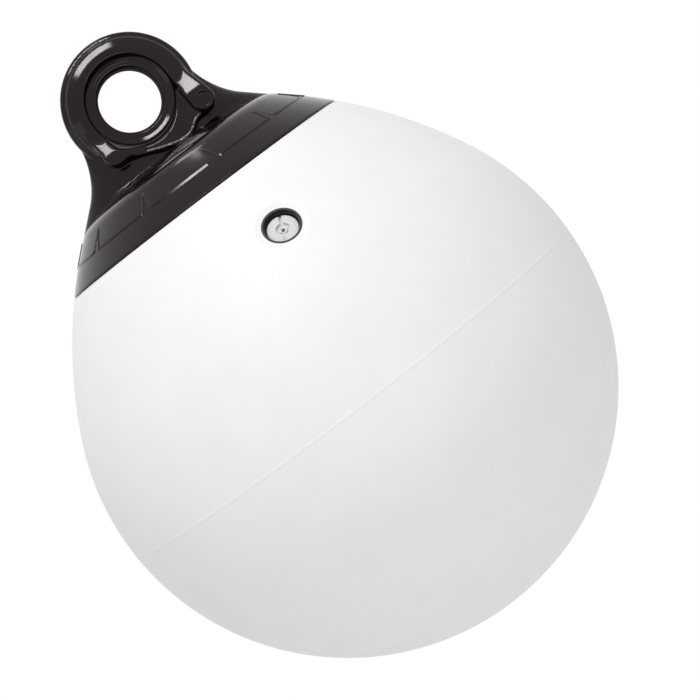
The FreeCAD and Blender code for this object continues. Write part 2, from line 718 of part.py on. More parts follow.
def build_legs(body):
    """Four tapered legs that run from the bead down and out to round feet."""
    for side, side_name in ((-1, "left"), (1, "right")):
        for face, face_name in ((-1, "front"), (1, "back")):
            start = FreeCAD.Vector(side * SIZES["leg_top_spread"], face * SIZES["leg_top_reach"],
                                   -SIZES["leg_top_drop"])
            end = FreeCAD.Vector(SIZES["foot_shift"] + side * SIZES["foot_spread"],
                                 face * SIZES["foot_reach"], -SIZES["foot_drop"])
            round_bar(body, "leg_" + side_name + "_" + face_name, start, end,
                      SIZES["leg_top_radius"], SIZES["foot_radius"])


def cut_hole(body):
    """The rope hole, with a rounded lip and a dish sunk round it on each face."""
    bore = new_sketch(body, "eye_hole_section", "XY_Plane")
    radius = SIZES["hole_radius"]
    half = SIZES["bore_half_length"]
    lip = SIZES["lip_radius"]
    land_y = half + lip
    land_end = radius + lip + SIZES["lip_land"]
    reach = SIZES["dish_radius"] - land_end
    rise = SIZES["dish_rise"]
    dish = (reach ** 2 + rise ** 2) / (2 * rise)
    dish_angle = math.degrees(math.asin(reach / dish))
    outer = SIZES["dish_radius"]
    over = SIZES["foot_reach"] + SIZES["foot_radius"] + lip
    items = [
        draw_line(bore, (0, -over), (outer, -over)),
        draw_line(bore, (outer, -over), (outer, -land_y - rise)),
        draw_arc(bore, (land_end, -land_y - dish), dish, 90 - dish_angle, 90),
        draw_line(bore, (land_end, -land_y), (radius + lip, -land_y)),
        draw_arc(bore, (radius + lip, -half), lip, 180, 270),
        draw_line(bore, (radius, -half), (radius, half)),
        draw_arc(bore, (radius + lip, half), lip, 90, 180),
        draw_line(bore, (radius + lip, land_y), (land_end, land_y)),
        draw_arc(bore, (land_end, land_y + dish), dish, -90, -90 + dish_angle),
        draw_line(bore, (outer, land_y + rise), (outer, over)),
        draw_line(bore, (outer, over), (0, over)),
        draw_line(bore, (0, over), (0, -over)),
    ]
    ends = [(1, 2), (1, 2), (1, 2), (1, 2), (2, 1), (1, 2), (2, 1), (1, 2), (1, 2), (1, 2), (1, 2), (1, 2)]
    for index, item in enumerate(items):
        following = (index + 1) % len(items)
        join(bore, item, ends[index][1], items[following], ends[following][0])
    bind(bore, "hole_radius", length("hole_radius"), "DistanceX", -1, 1, items[5], 1)
    revolve(body, "Groove", "eye_hole", bore, "V_Axis")


def build_rope_eye():
    body = new_body("rope_eye_cap")
    build_pad(body)
    build_skirt(body)
    build_neck(body)
    build_ring(body)
    build_legs(body)
    build_ridge(body)
    cut_hole(body)
    bite = bag_outline(body, "bag_bite", ZERO)
    revolve(body, "Groove", "bag_seat", bite, "V_Axis")
    return body


# The valve

def build_valve_body():
    flange_depth = length("boss_depth") + length("body_flange_thickness")
    corners = [
        (length("thread_bore_radius"), length("cup_floor_depth")),
        (length("cup_inner_radius"), length("cup_floor_depth")),
        (length("cup_inner_radius"), length("cup_step_depth")),
        (length("cup_radius"), length("cup_step_depth")),
        (length("cup_radius"), length("body_rim_depth")),
        (length("body_radius"), length("body_rim_depth")),
        (length("body_radius"), length("boss_depth")),
        (length("boss_radius"), length("boss_depth")),
        (length("boss_radius"), flange_depth),
        (length("nose_radius"), flange_depth),
        (length("nose_radius"), length("nose_depth")),
        (length("thread_bore_radius"), length("nose_depth")),
    ]
    body = turned_body("valve_body", corners)
    body.Placement = VALVE
    return body


def build_valve_seal():
    lower = length("cup_floor_depth") - length("seat_gap")
    upper = lower - length("washer_thickness")
    outer = length("head_radius")
    inner = length("washer_inner_radius")
    body = turned_body("valve_seal", [(inner, lower), (outer, lower), (outer, upper), (inner, upper)])
    body.Placement = VALVE
    return body


def build_valve_plug():
    underside = length("cup_floor_depth") - length("seat_gap") - length("washer_thickness")
    underside = underside - length("seat_gap")
    top = underside - length("head_thickness")
    chamfer = length("head_chamfer")
    shank_radius = length("thread_bore_radius") - length("running_gap")
    shank_end = length("shank_end_depth")
    core_top = shank_end - length("core_length")
    head_radius = length("head_radius")
    counterbore = top + length("counterbore_depth")
    needle_boss_top = top + length("needle_boss_below_head")
    corners = [
        (length("core_radius"), shank_end),
        (shank_radius - length("shank_chamfer"), shank_end),
        (shank_radius, shank_end - length("shank_chamfer")),
        (shank_radius, underside),
        (head_radius, underside),
        (head_radius, top + chamfer),
        (head_radius - chamfer, top),
        (length("counterbore_radius"), top),
        (length("counterbore_radius"), counterbore),
        (length("needle_boss_radius"), counterbore),
        (length("needle_boss_radius"), needle_boss_top),
        (length("needle_hole_radius"), needle_boss_top),
        (length("needle_hole_radius"), core_top),
        (length("core_radius"), core_top),
    ]
    body = turned_body("valve_plug", corners)

    level = FreeCAD.Placement(FreeCAD.Vector(0, 0, -top.value),
                              FreeCAD.Rotation(FreeCAD.Vector(0, 0, 1), SIZES["slot_turn"]))
    sketch = new_sketch(body, "slot_outline", "XY_Plane", level)
    half_length = 2 * SIZES["head_radius"]
    half_width = SIZES["slot_width"] / 2
    corners = [(-half_length, -half_width), (half_length, -half_width),
               (half_length, half_width), (-half_length, half_width)]
    lines = [draw_line(sketch, corners[i], corners[(i + 1) % 4]) for i in range(4)]
    for index, line in enumerate(lines):
        join(sketch, line, 2, lines[(index + 1) % 4], 1)
    bind(sketch, "slot_width", length("slot_width"), "DistanceY", lines[1], 1, lines[1], 2)
    slot = body.newObject("PartDesign::Pocket", "slot")
    slot.Profile = sketch
    slot.Length = SIZES["slot_depth"]
    slot.setExpression("Length", "Sizes.slot_depth")
    body.Tip = slot
    document.recompute()
    body.Placement = VALVE
    return body


def build_needle_core():
    lower = length("shank_end_depth")
    upper = lower - length("core_length")
    radius = length("core_radius")
    body = turned_body("needle_core", [(ZERO, lower), (radius, lower), (radius, upper), (ZERO, upper)])
    body.Placement = VALVE
    return body


# Checks, and one STEP file for each piece

def check_document():
    failed = [item for item in document.Objects if "Invalid" in item.State or "Error" in item.State]
    for item in failed:
        print(item.Name, "failed:", item.getStatusString())
    if failed:
        raise RuntimeError(str(len(failed)) + " objects failed")


def export(pieces):
    for piece in pieces:
        shape = piece.Shape
        if shape.isNull() or not shape.isValid():
            raise RuntimeError(piece.Label + " has no valid shape")
        if len(shape.Solids) != 1:
            raise RuntimeError(piece.Label + " is not one solid")
    os.makedirs(OUTPUT_FOLDER, exist_ok=True)
    for piece in pieces:
        piece.Shape.exportStep(OUTPUT_FOLDER + "/" + piece.Label + ".step")
        box = piece.Shape.BoundBox
        print(piece.Label, "volume", round(piece.Shape.Volume),
              "from", round(box.XMin, 2), round(box.YMin, 2), round(box.ZMin, 2),
              "to", round(box.XMax, 2), round(box.YMax, 2), round(box.ZMax, 2))


pieces = [
    build_air_bag(),
    build_rope_eye(),
    build_valve_body(),
    build_valve_seal(),
    build_valve_plug(),
    build_needle_core(),
]
document.recompute()
check_document()
export(pieces)
valve_axis = VALVE.Rotation.multVec(FreeCAD.Vector(0, 0, 1))
print("valve at", VALVE.Base, "axis", valve_axis)
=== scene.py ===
import math

import bpy
import numpy as np
from mathutils import Matrix, Vector


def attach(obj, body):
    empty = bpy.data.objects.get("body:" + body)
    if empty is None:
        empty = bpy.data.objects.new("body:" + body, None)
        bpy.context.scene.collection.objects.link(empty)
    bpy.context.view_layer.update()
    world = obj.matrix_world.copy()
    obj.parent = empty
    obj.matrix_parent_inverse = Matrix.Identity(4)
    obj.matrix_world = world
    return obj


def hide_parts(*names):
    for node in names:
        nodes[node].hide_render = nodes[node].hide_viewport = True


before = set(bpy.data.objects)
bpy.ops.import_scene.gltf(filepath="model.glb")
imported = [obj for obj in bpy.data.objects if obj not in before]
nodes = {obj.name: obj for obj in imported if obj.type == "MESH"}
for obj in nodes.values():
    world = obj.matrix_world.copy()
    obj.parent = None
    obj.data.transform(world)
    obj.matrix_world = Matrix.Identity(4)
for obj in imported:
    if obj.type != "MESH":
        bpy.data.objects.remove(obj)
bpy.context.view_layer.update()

MM = 0.001
TINY = 1e-6

# The object's sizes in millimetres, as the solids have them
BALL_RADIUS = 150.0
BALL_DROP = 198.5
SHOULDER_LATITUDE = math.radians(26.0)
SHOULDER_RADIUS = 270.0
SHOULDER_OFFSET = SHOULDER_RADIUS - BALL_RADIUS
SHOULDER_X = -SHOULDER_OFFSET * math.cos(SHOULDER_LATITUDE)
SHOULDER_Z = -BALL_DROP - SHOULDER_OFFSET * math.sin(SHOULDER_LATITUDE)
BAG_WALL = 3.0
SKIRT_WALL = 3.0
SKIRT_BELOW_SLOPE = 20.1
CROWN_COVER = 10.5
CROWN_RADIUS = 282.0

HOLE_RADIUS = 17.5
LIP_RADIUS = 1.5
WEB_HALF = 6.0
EYE_RADIUS = 38.3
SIDE_FILLET = 43.0
SIDE_SLOPE = math.radians(48.6)
SLOPE_RUN = 3.9
DOME_ROUND = 20.0
DOME_LEAN = math.radians(78.4)
NECK_HALF = 15.0
NECK_FOOT_HALF = 22.0
NECK_FOOT_BURY = 14.5
NECK_FOOT_TUCK = 3.0
WEB_TUCK = 0.8
WEB_TUCK_RUN = 23.0

VALVE_ELEVATION = math.radians(32.9)
VALVE_AZIMUTH = math.radians(7.4)
VALVE_DISH = 13.5
VALVE_DISH_DEPTH = 0.8
VALVE_HOLE = 10.75
BOSS_RADIUS = 16.0
BOSS_DEPTH = 9.0


def link_object(name, data):
    made = bpy.data.objects.new(name, data)
    bpy.context.scene.collection.objects.link(made)
    return made


# The camera, where the photograph's stood: metres, degrees and pixels

CAMERA_DISTANCE = 1.534
CAMERA_AZIMUTH = math.radians(-4.0)
CAMERA_ELEVATION = math.radians(3.55)
CAMERA_ROLL = math.radians(37.4)
FOCAL_PIXELS = 2758.0
IMAGE_PIXELS = 700.0
SENSOR_WIDTH = 36.0
FARTHEST_SEEN = 100
BALL_IMAGE = (347.6, 386.6)


def make_camera():
    target = Vector((0, 0, -BALL_DROP * MM))
    toward = Vector((math.sin(CAMERA_AZIMUTH) * math.cos(CAMERA_ELEVATION),
                     -math.cos(CAMERA_AZIMUTH) * math.cos(CAMERA_ELEVATION),
                     math.sin(CAMERA_ELEVATION)))
    place = target + CAMERA_DISTANCE * toward
    level_right = Vector((0, 0, 1)).cross(toward).normalized()
    level_up = toward.cross(level_right).normalized()
    right = math.cos(CAMERA_ROLL) * level_right - math.sin(CAMERA_ROLL) * level_up
    up = math.sin(CAMERA_ROLL) * level_right + math.cos(CAMERA_ROLL) * level_up
    # The ball's centre lies a little off the middle of the picture
    aside = (BALL_IMAGE[0] - IMAGE_PIXELS / 2) / FOCAL_PIXELS
    above = (IMAGE_PIXELS / 2 - BALL_IMAGE[1]) / FOCAL_PIXELS
    forward = (-toward - aside * right - above * up).normalized()
    right = forward.cross(up).normalized()
    up = right.cross(forward).normalized()
    data = bpy.data.cameras.new("camera")
    data.sensor_width = SENSOR_WIDTH
    data.lens = FOCAL_PIXELS / IMAGE_PIXELS * SENSOR_WIDTH
    data.clip_end = FARTHEST_SEEN
    camera = link_object("camera", data)
    turn = Matrix((right, up, -forward)).transposed().to_4x4()
    camera.matrix_world = Matrix.Translation(place) @ turn
    bpy.context.scene.camera = camera


# Meshes

def make_object(name, vertices, faces):
    """A smoothly shaded object from corners in millimetres."""
    mesh = bpy.data.meshes.new(name)
    corners = (np.asarray(vertices) * MM).tolist()
    mesh.from_pydata(corners, [], [tuple(int(i) for i in face) for face in faces])
    mesh.validate()
    mesh.shade_smooth()
    return link_object(name, mesh)


def smooth_min(first, second, blend):
    near = np.maximum(blend - np.abs(first - second), 0) / blend
    return np.minimum(first, second) - near * near * blend / 4


def smooth_max(first, second, blend):
    return -smooth_min(-first, -second, blend)


def smooth_step(share):
    share = np.clip(share, 0, 1)
    return share * share * (3 - 2 * share)


def shoulder_radius_at(z, inset=0.0):
    """Radius of the shoulder's arc, or of an arc inset from it, at a height."""
    return SHOULDER_X + np.sqrt(np.maximum((SHOULDER_RADIUS - inset) ** 2 - (z - SHOULDER_Z) ** 2, 0))


# Heights and centres that follow from the sizes: the straight slope, the neck's fillet, and the
# skirt's rounded rim with the low dome that closes it

SLOPE_X = SHOULDER_X + SHOULDER_RADIUS * math.cos(SIDE_SLOPE)
SLOPE_Z = SHOULDER_Z + SHOULDER_RADIUS * math.sin(SIDE_SLOPE)
FILLET_END_X = EYE_RADIUS + SIDE_FILLET * (1 - math.cos(SIDE_SLOPE))
FILLET_Z = (SLOPE_Z + (SLOPE_X - FILLET_END_X) / math.tan(SIDE_SLOPE)
            + SIDE_FILLET * math.sin(SIDE_SLOPE))
SKIRT_DROP = SKIRT_BELOW_SLOPE - SLOPE_Z
ROUND_X = SLOPE_X - SLOPE_RUN * math.sin(SIDE_SLOPE) - DOME_ROUND * math.cos(SIDE_SLOPE)
ROUND_Z = SLOPE_Z + SLOPE_RUN * math.cos(SIDE_SLOPE) - DOME_ROUND * math.sin(SIDE_SLOPE)
DOME_EDGE_X = ROUND_X + DOME_ROUND * math.cos(DOME_LEAN)
DOME_EDGE_Z = ROUND_Z + DOME_ROUND * math.sin(DOME_LEAN)
DOME_RADIUS = DOME_EDGE_X / math.cos(DOME_LEAN)
DOME_Z = DOME_EDGE_Z - DOME_RADIUS * math.sin(DOME_LEAN)
DOME_TOP = DOME_Z + DOME_RADIUS
CROWN_DROP = CROWN_COVER - DOME_TOP
CROWN_CENTRE = -CROWN_DROP - CROWN_RADIUS
NECK_FOOT = DOME_TOP - NECK_FOOT_BURY


# The rope eye, as one field of distances. A field that isn't a true distance is scaled by its share.

NECK_SHARE = 0.6
WEB_BULGE = 0.8
WEB_THINNING = 0.45
WEB_THIN_FROM = 34.0
WEB_BLEND = 1.5
BEAD_OUTER = 35.0
BEAD_KNEE = 28.6
BEAD_TOP = 12.8
BEAD_SLANT = math.radians(25.6)
BEAD_TOP_BLEND = 0.8
BEAD_SIDE_BLEND = 1.2
SLANT = math.radians(27.0)
# Each leg runs out of the bead, slants outwards and ends in a foot: x, z and radius at its ends
LEFT_LEG = ((-27.6, 1.0, 5.0), (-25.4, -19.4, 5.8))
LEFT_TOE = ((-25.4, -19.4, 5.8), (-12.0, -23.0, 4.0))
LEFT_FRONT = 18.8
LEFT_SLANT_TOP = -7.0
LEFT_FALL = 0.36
LEFT_FALL_FROM = 3.0
RIGHT_LEG = ((28.2, 3.0, 4.6), (31.6, -24.0, 6.8))
RIGHT_FRONT = 19.8
RIGHT_SLANT_TOP = -4.5
LEG_FRONT_BLEND = 0.9
LEG_SIDE_BLEND = 2.2
LEG_BLEND = 2.5
TOE_BLEND = 3.0
PAD_TOP = 10.8
PAD_TOP_Z = -14.0
PAD_SLOPE = 0.348
PAD_MIDDLE = 2.0
PAD_HALF = 28.0
PAD_UPPER_Z = -8.0
# The pad's lower edge, from the left foot to the right one: x, z
PAD_EDGE = ((-40.0, -24.6), (-26.0, -24.9), (-22.0, -25.6), (-18.0, -27.0), (-10.4, -29.9),
            (-2.8, -33.1), (5.0, -35.7), (9.0, -36.5), (12.5, -36.6), (15.5, -36.0),
            (18.0, -34.8), (20.5, -32.8), (23.0, -31.5), (26.0, -31.0), (40.0, -31.0))
PAD_EDGE_SHARE = 0.85
PAD_EDGE_BLEND = 1.6
PAD_BLEND = 2.0
PAD_RIM_HEIGHT = 0.4
PAD_RIM_INSET = 1.0
PAD_RIM_WIDTH = 0.6
FOOT_MARK = (31.8, -24.2)
FOOT_MARK_FLOOR = 3.2
FOOT_MARK_DEPTH = 0.9
FOOT_MARK_SHARE = 0.89
FOOT_MARK_BLEND = 0.35
RING_BLEND = 1.0
# The dish round the hole: a flat floor, a slanted part, a steeper wall, and where it ends
DISH_FLOOR = 9.0
DISH_FLAT = 21.2
DISH_WALL = 24.2
DISH_WALL_RISE = 1.2
DISH_END = 30.0
DISH_END_RISE = 20.0
DISH_SHARE = 0.7
DISH_BLEND = 1.5
SKIRT_EDGE_BLEND = 1.8


def neck_half_width(z):
    fall = np.clip(FILLET_Z - z, 0, SIDE_FILLET)
    fillet = EYE_RADIUS + SIDE_FILLET - np.sqrt(SIDE_FILLET ** 2 - fall ** 2)
    slope = SLOPE_X - (z - SLOPE_Z) * math.tan(SIDE_SLOPE)
    wide = np.where(z <= FILLET_Z - SIDE_FILLET * math.sin(SIDE_SLOPE), slope, fillet)
    return np.where(z <= SLOPE_Z, shoulder_radius_at(z), wide)


def neck_half_depth(z):
    run = smooth_step((FILLET_Z - z) / (FILLET_Z - DOME_TOP))
    waist = WEB_HALF + (NECK_HALF - WEB_HALF) * run
    return waist + (NECK_FOOT_HALF - NECK_HALF) * np.clip((DOME_TOP - z) / NECK_FOOT_BURY, 0, 1)


def neck_tuck(z):
    """How far the neck's sides are drawn in at the web and at its buried foot."""
    web = WEB_TUCK * (1 - smooth_step((FILLET_Z - z) / WEB_TUCK_RUN))
    start = (DOME_TOP + NECK_FOOT) / 2
    return web + NECK_FOOT_TUCK * smooth_step((start - z) / (start - NECK_FOOT))


def neck_field(x, y, z):
    """Distance outside the neck, which is an ellipse at each height."""
    wide = neck_half_width(z) - neck_tuck(z)
    deep = neck_half_depth(z)
    reach = np.sqrt((x / wide) ** 2 + (y / deep) ** 2) + TINY
    steep = np.sqrt((x / wide ** 2) ** 2 + (y / deep ** 2) ** 2) / reach + TINY
    neck = (reach - 1) / steep * NECK_SHARE
    return np.maximum(np.maximum(neck, z - FILLET_Z), NECK_FOOT - z)


def skirt_field(across, z):
    """Distance outside the round skirt: shoulder, straight slope, rounded rim and dome."""
    along = (z - SLOPE_Z) * math.cos(SIDE_SLOPE) - (across - SLOPE_X) * math.sin(SIDE_SLOPE)
    shoulder = np.sqrt((across - SHOULDER_X) ** 2 + (z - SHOULDER_Z) ** 2) - SHOULDER_RADIUS
    slope = (across - SLOPE_X) * math.cos(SIDE_SLOPE) + (z - SLOPE_Z) * math.sin(SIDE_SLOPE)
    rim = np.sqrt((across - ROUND_X) ** 2 + (z - ROUND_Z) ** 2) - DOME_ROUND
    lean = np.arctan2(z - ROUND_Z, across - ROUND_X)
    dome = np.sqrt(across ** 2 + (z - DOME_Z) ** 2) - DOME_RADIUS
    top = np.where((lean >= SIDE_SLOPE) & (lean <= DOME_LEAN), rim, dome)
    return np.where(along < 0, shoulder, np.where(along < SLOPE_RUN, slope, top))


def seat_field(across, z):
    """Distance outside the part of the bag that the cap covers."""
    neck_radius = SHOULDER_RADIUS - SKIRT_WALL
    neck = np.sqrt((across - SHOULDER_X) ** 2 + (z - SHOULDER_Z) ** 2) - neck_radius
    crown = np.sqrt(across ** 2 + (z + CROWN_DROP + CROWN_RADIUS) ** 2) - CROWN_RADIUS
    return np.maximum(neck, crown)


def web_field(depth, away):
    """Distance outside the round web of the eye, which thins towards its edge."""
    half = WEB_HALF + WEB_BULGE - WEB_THINNING * np.maximum(away - WEB_THIN_FROM, 0)
    return smooth_max(away - EYE_RADIUS, depth - half, WEB_BLEND)


def bead_field(depth, away):
    """Distance outside the bead round the eye, with its slanted outer side."""
    slant = (depth - BEAD_TOP) * math.cos(BEAD_SLANT) + (away - BEAD_KNEE) * math.sin(BEAD_SLANT)
    top = smooth_max(slant, depth - BEAD_TOP, BEAD_TOP_BLEND)
    return smooth_max(top, away - BEAD_OUTER, BEAD_SIDE_BLEND)


def pad_field(x, depth, z):
    """Distance outside the sloping pad, with a low rim along its lower edge."""
    edge_x, edge_z = np.array(PAD_EDGE).T
    below = (np.interp(x, edge_x, edge_z) - z) * PAD_EDGE_SHARE
    rim = PAD_RIM_HEIGHT * np.exp(-((below + PAD_RIM_INSET) / PAD_RIM_WIDTH) ** 2)
    face = PAD_TOP + PAD_SLOPE * (PAD_TOP_Z - z) + rim
    front = (depth - face) / math.hypot(1, PAD_SLOPE)
    sides = np.maximum(np.abs(x - PAD_MIDDLE) - PAD_HALF, z - PAD_UPPER_Z)
    return smooth_max(smooth_max(front, below, PAD_EDGE_BLEND), sides, PAD_BLEND)


def leg_plan(x, z, leg):
    """Distance to a leg's outline, seen from the front."""
    (ax, az, ar), (bx, bz, br) = leg
    run = (bx - ax) ** 2 + (bz - az) ** 2
    along = np.clip(((x - ax) * (bx - ax) + (z - az) * (bz - az)) / run, 0, 1)
    plan = np.sqrt((x - ax - along * (bx - ax)) ** 2 + (z - az - along * (bz - az)) ** 2)
    return plan - (ar + (br - ar) * along)


def leg_field(plan, depth, z, front_depth, slant_top):
    """Distance outside a leg, from its outline, its front and its slanted upper part."""
    slant = (depth - BEAD_TOP - math.tan(SLANT) * (slant_top - z)) * math.cos(SLANT)
    front = smooth_max(slant, depth - front_depth, LEG_FRONT_BLEND)
    return smooth_max(plan, front, LEG_SIDE_BLEND)


def legs_field(x, depth, z):
    """Distances outside the left and the right leg."""
    fall = LEFT_FRONT - LEFT_FALL * np.maximum(x - LEFT_TOE[0][0] - LEFT_FALL_FROM, 0)
    left_plan = smooth_min(leg_plan(x, z, LEFT_LEG), leg_plan(x, z, LEFT_TOE), TOE_BLEND)
    left = leg_field(left_plan, depth, z, fall, LEFT_SLANT_TOP)
    right = leg_field(leg_plan(x, z, RIGHT_LEG), depth, z, RIGHT_FRONT, RIGHT_SLANT_TOP)
    return left, right


def mark_field(x, depth, z):
    """Height over the shallow round mark in the right foot."""
    aside = np.sqrt((x - FOOT_MARK[0]) ** 2 + (z - FOOT_MARK[1]) ** 2)
    rise = math.tan(SLANT) * np.maximum(aside - FOOT_MARK_FLOOR, 0)
    return (depth - (RIGHT_FRONT - FOOT_MARK_DEPTH + rise)) * FOOT_MARK_SHARE


def dish_field(depth, away):
    """Depth under the dish round the hole."""
    floor = DISH_FLOOR + math.tan(SLANT) * np.maximum(away - DISH_FLAT, 0)
    floor = floor + DISH_WALL_RISE * np.maximum(away - DISH_WALL, 0)
    floor = floor + DISH_END_RISE * np.maximum(away - DISH_END, 0)
    return (floor - depth) * DISH_SHARE


def cap_field(x, y, z):
    """Distance outside the rope eye with its neck and skirt, in millimetres."""
    depth = np.abs(y)
    away = np.sqrt(x * x + z * z)
    across = np.sqrt(x * x + y * y)
    core = np.minimum(np.minimum(neck_field(x, y, z), skirt_field(across, z)),
                      web_field(depth, away))
    ring = smooth_min(bead_field(depth, away), pad_field(x, depth, z), PAD_BLEND)
    for leg in legs_field(x, depth, z):
        ring = smooth_min(ring, leg, LEG_BLEND)
    ring = smooth_max(ring, mark_field(x, depth, z), FOOT_MARK_BLEND)
    body = smooth_min(core, ring, RING_BLEND)
    # The dish, and the hole with its lip
    body = smooth_max(body, -dish_field(depth, away), DISH_BLEND)
    body = smooth_max(body, HOLE_RADIUS - away, 2 * LIP_RADIUS)
    # The underside, and the skirt's edge
    body = np.maximum(body, -seat_field(across, z))
    return smooth_max(body, -z - SKIRT_DROP, SKIRT_EDGE_BLEND)


# How the net is moved onto the surface: rounds, probe, least slope squared and longest move
NET_ROUNDS = 3
NET_PROBE = 0.02
NET_LEAST_SLOPE = 0.05
NET_LONGEST_MOVE = 0.4


def spaced(*stretches):
    """Places along an axis, from stretches of start, end and spacing."""
    places = []
    for start, end, step in stretches:
        count = max(round((end - start) / step), 1)
        places.append(np.linspace(start, end, count, endpoint=False))
    return np.concatenate(places + [[stretches[-1][1]]]).astype(np.float32)


def pull_onto(field, points):
    """Points near the zero surface of a field, moved onto it."""
    step = NET_PROBE
    for _ in range(NET_ROUNDS):
        px, py, pz = points.T
        here = field(px, py, pz)
        slope = np.stack([(field(px + step, py, pz) - field(px - step, py, pz)),
                          (field(px, py + step, pz) - field(px, py - step, pz)),
                          (field(px, py, pz + step) - field(px, py, pz - step))], 1) / (2 * step)
        length = np.maximum((slope ** 2).sum(1), NET_LEAST_SLOPE)
        move = slope * (here / length)[:, None]
        far = np.maximum(np.sqrt((move ** 2).sum(1)) / NET_LONGEST_MOVE, 1)
        points = points - move / far[:, None]
    return points


def surface_net(field, axes):
    """Quads on the zero surface of a field, sampled on a grid and then moved onto it."""
    x, y, z = np.meshgrid(*axes, indexing="ij", sparse=True)
    values = field(x, y, z)
    inside = values < 0
    # The cells that the surface runs through
    counts = np.zeros(tuple(s - 1 for s in values.shape), np.int8)
    corners = [(i, j, k) for i in (0, 1) for j in (0, 1) for k in (0, 1)]
    size = counts.shape
    for i, j, k in corners:
        counts += inside[i:i + size[0], j:j + size[1], k:k + size[2]]
    cells = np.argwhere((counts > 0) & (counts < len(corners)))
    number = np.full(size, -1, np.int64)
    number[tuple(cells.T)] = np.arange(len(cells))
    # A point for each: the mean of where the surface crosses the cell's edges
    total = np.zeros((len(cells), 3))
    found = np.zeros(len(cells))
    for first in corners:
        for axis in range(3):
            if first[axis]:
                continue
            second = tuple(v + (n == axis) for n, v in enumerate(first))
            low = tuple((cells + first).T)
            high = tuple((cells + second).T)
            a = values[low]
            b = values[high]
            cross = (a < 0) != (b < 0)
            share = np.where(cross, a / np.where(cross, a - b, 1), 0)
            for n in range(3):
                place = axes[n][low[n]] + share * (axes[n][high[n]] - axes[n][low[n]])
                total[:, n] += np.where(cross, place, 0)
            found += cross
    points = total / found[:, None]
    # A quad for each of the grid's edges that the surface crosses
    faces = []
    for axis in range(3):
        first = inside[tuple(slice(0, -1) if n == axis else slice(None) for n in range(3))]
        second = inside[tuple(slice(1, None) if n == axis else slice(None) for n in range(3))]
        edges = np.argwhere(first != second)
        others = [n for n in range(3) if n != axis]
        edges = edges[(edges[:, others[0]] > 0) & (edges[:, others[1]] > 0)]
        ring = []
        for step_a, step_b in ((0, 0), (-1, 0), (-1, -1), (0, -1)):
            cell = edges.copy()
            cell[:, others[0]] += step_a
            cell[:, others[1]] += step_b
            ring.append(number[tuple(cell.T)])
        quads = np.stack(ring, 1)
        leaving = first[tuple(edges.T)]
        if axis == 1:
            leaving = ~leaving
        quads[~leaving] = quads[~leaving][:, ::-1]
        faces.append(quads)
    return pull_onto(field, points), np.concatenate(faces)


# The raised line round the skirt, with a narrow tooth in each division

TOOTH_COUNT = 11
TOOTH_AZIMUTH = math.radians(8.3)
TOOTH_HALF_TURN = math.radians(2.1)
TOOTH_RISE = 8.9
TOOTH_ROWS = 7
TUBE_SIDES = 12
TUBE_END_TILTS = (67.5, 45.0, 22.5)
# A height well over the skirt, towards which each ring's first corner points
TUBE_UP = 60.0
RIDGE_BELOW_SLOPE = 7.3
RIDGE_Z = SLOPE_Z - RIDGE_BELOW_SLOPE
RIDGE_RADIUS = 0.9
RIDGE_HEIGHT = 0.5
RIDGE_ROWS = 26
RIDGE_END_SIZE = 0.55
# The raised line's section: height over the skin and place down the slope
RIDGE_SECTION = ((-0.40, -0.60), (-0.05, -0.98), (0.40, -0.66), (0.50, -0.47), (0.455, -0.30),
                 (0.36, 0.0), (0.17, 0.6), (0.015, 1.1), (-0.05, 1.3), (-0.40, 1.0))


def tube_sides(rows, corners):
    """Quads between the rows of a tube."""
    faces = []
    for row in range(rows - 1):
        for side in range(corners):
            a = row * corners + side
            b = row * corners + (side + 1) % corners
            faces.append((a, b, b + corners, a + corners))
    return faces


def rounded_tube(points, radius):
    """A closed round bar with round ends along a line of points."""
    along = np.gradient(points, axis=0)
    along /= np.linalg.norm(along, axis=1)[:, None]
    tilts = np.radians(TUBE_END_TILTS)
    rings = [(points[0], along[0], -tilt) for tilt in tilts]
    rings += [(point, tangent, 0.0) for point, tangent in zip(points, along)]
    rings += [(points[-1], along[-1], tilt) for tilt in tilts[::-1]]
    vertices = []
    for point, tangent, tilt in rings:
        centre = point + radius * math.sin(tilt) * tangent
        ring_radius = radius * math.cos(tilt)
        outward = np.array((centre[0], centre[1], TUBE_UP))
        first = outward - outward.dot(tangent) * tangent
        first /= np.linalg.norm(first)
        second = np.cross(tangent, first)
        for turn in np.linspace(0, 2 * math.pi, TUBE_SIDES, endpoint=False):
            vertices.append(centre + ring_radius * (math.cos(turn) * first + math.sin(turn) * second))
    faces = tube_sides(len(rings), TUBE_SIDES)
    start, end = len(vertices), len(vertices) + 1
    vertices.append(points[0] - radius * along[0])
    vertices.append(points[-1] + radius * along[-1])
    last = (len(rings) - 1) * TUBE_SIDES
    for side in range(TUBE_SIDES):
        following = (side + 1) % TUBE_SIDES
        faces.append((start, following, side))
        faces.append((end, last + side, last + following))
    return vertices, faces


def ridge_place(height, azimuth):
    """Where a tooth's centre line lies under the skirt's skin."""
    lean = SIDE_SLOPE
    if height < SLOPE_Z:
        lean = math.asin((height - SHOULDER_Z) / SHOULDER_RADIUS)
    sunk = RIDGE_RADIUS - RIDGE_HEIGHT
    radius = float(neck_half_width(height)) - sunk * math.cos(lean)
    return np.array((radius * math.sin(azimuth), -radius * math.cos(azimuth),
                     height - sunk * math.sin(lean)))


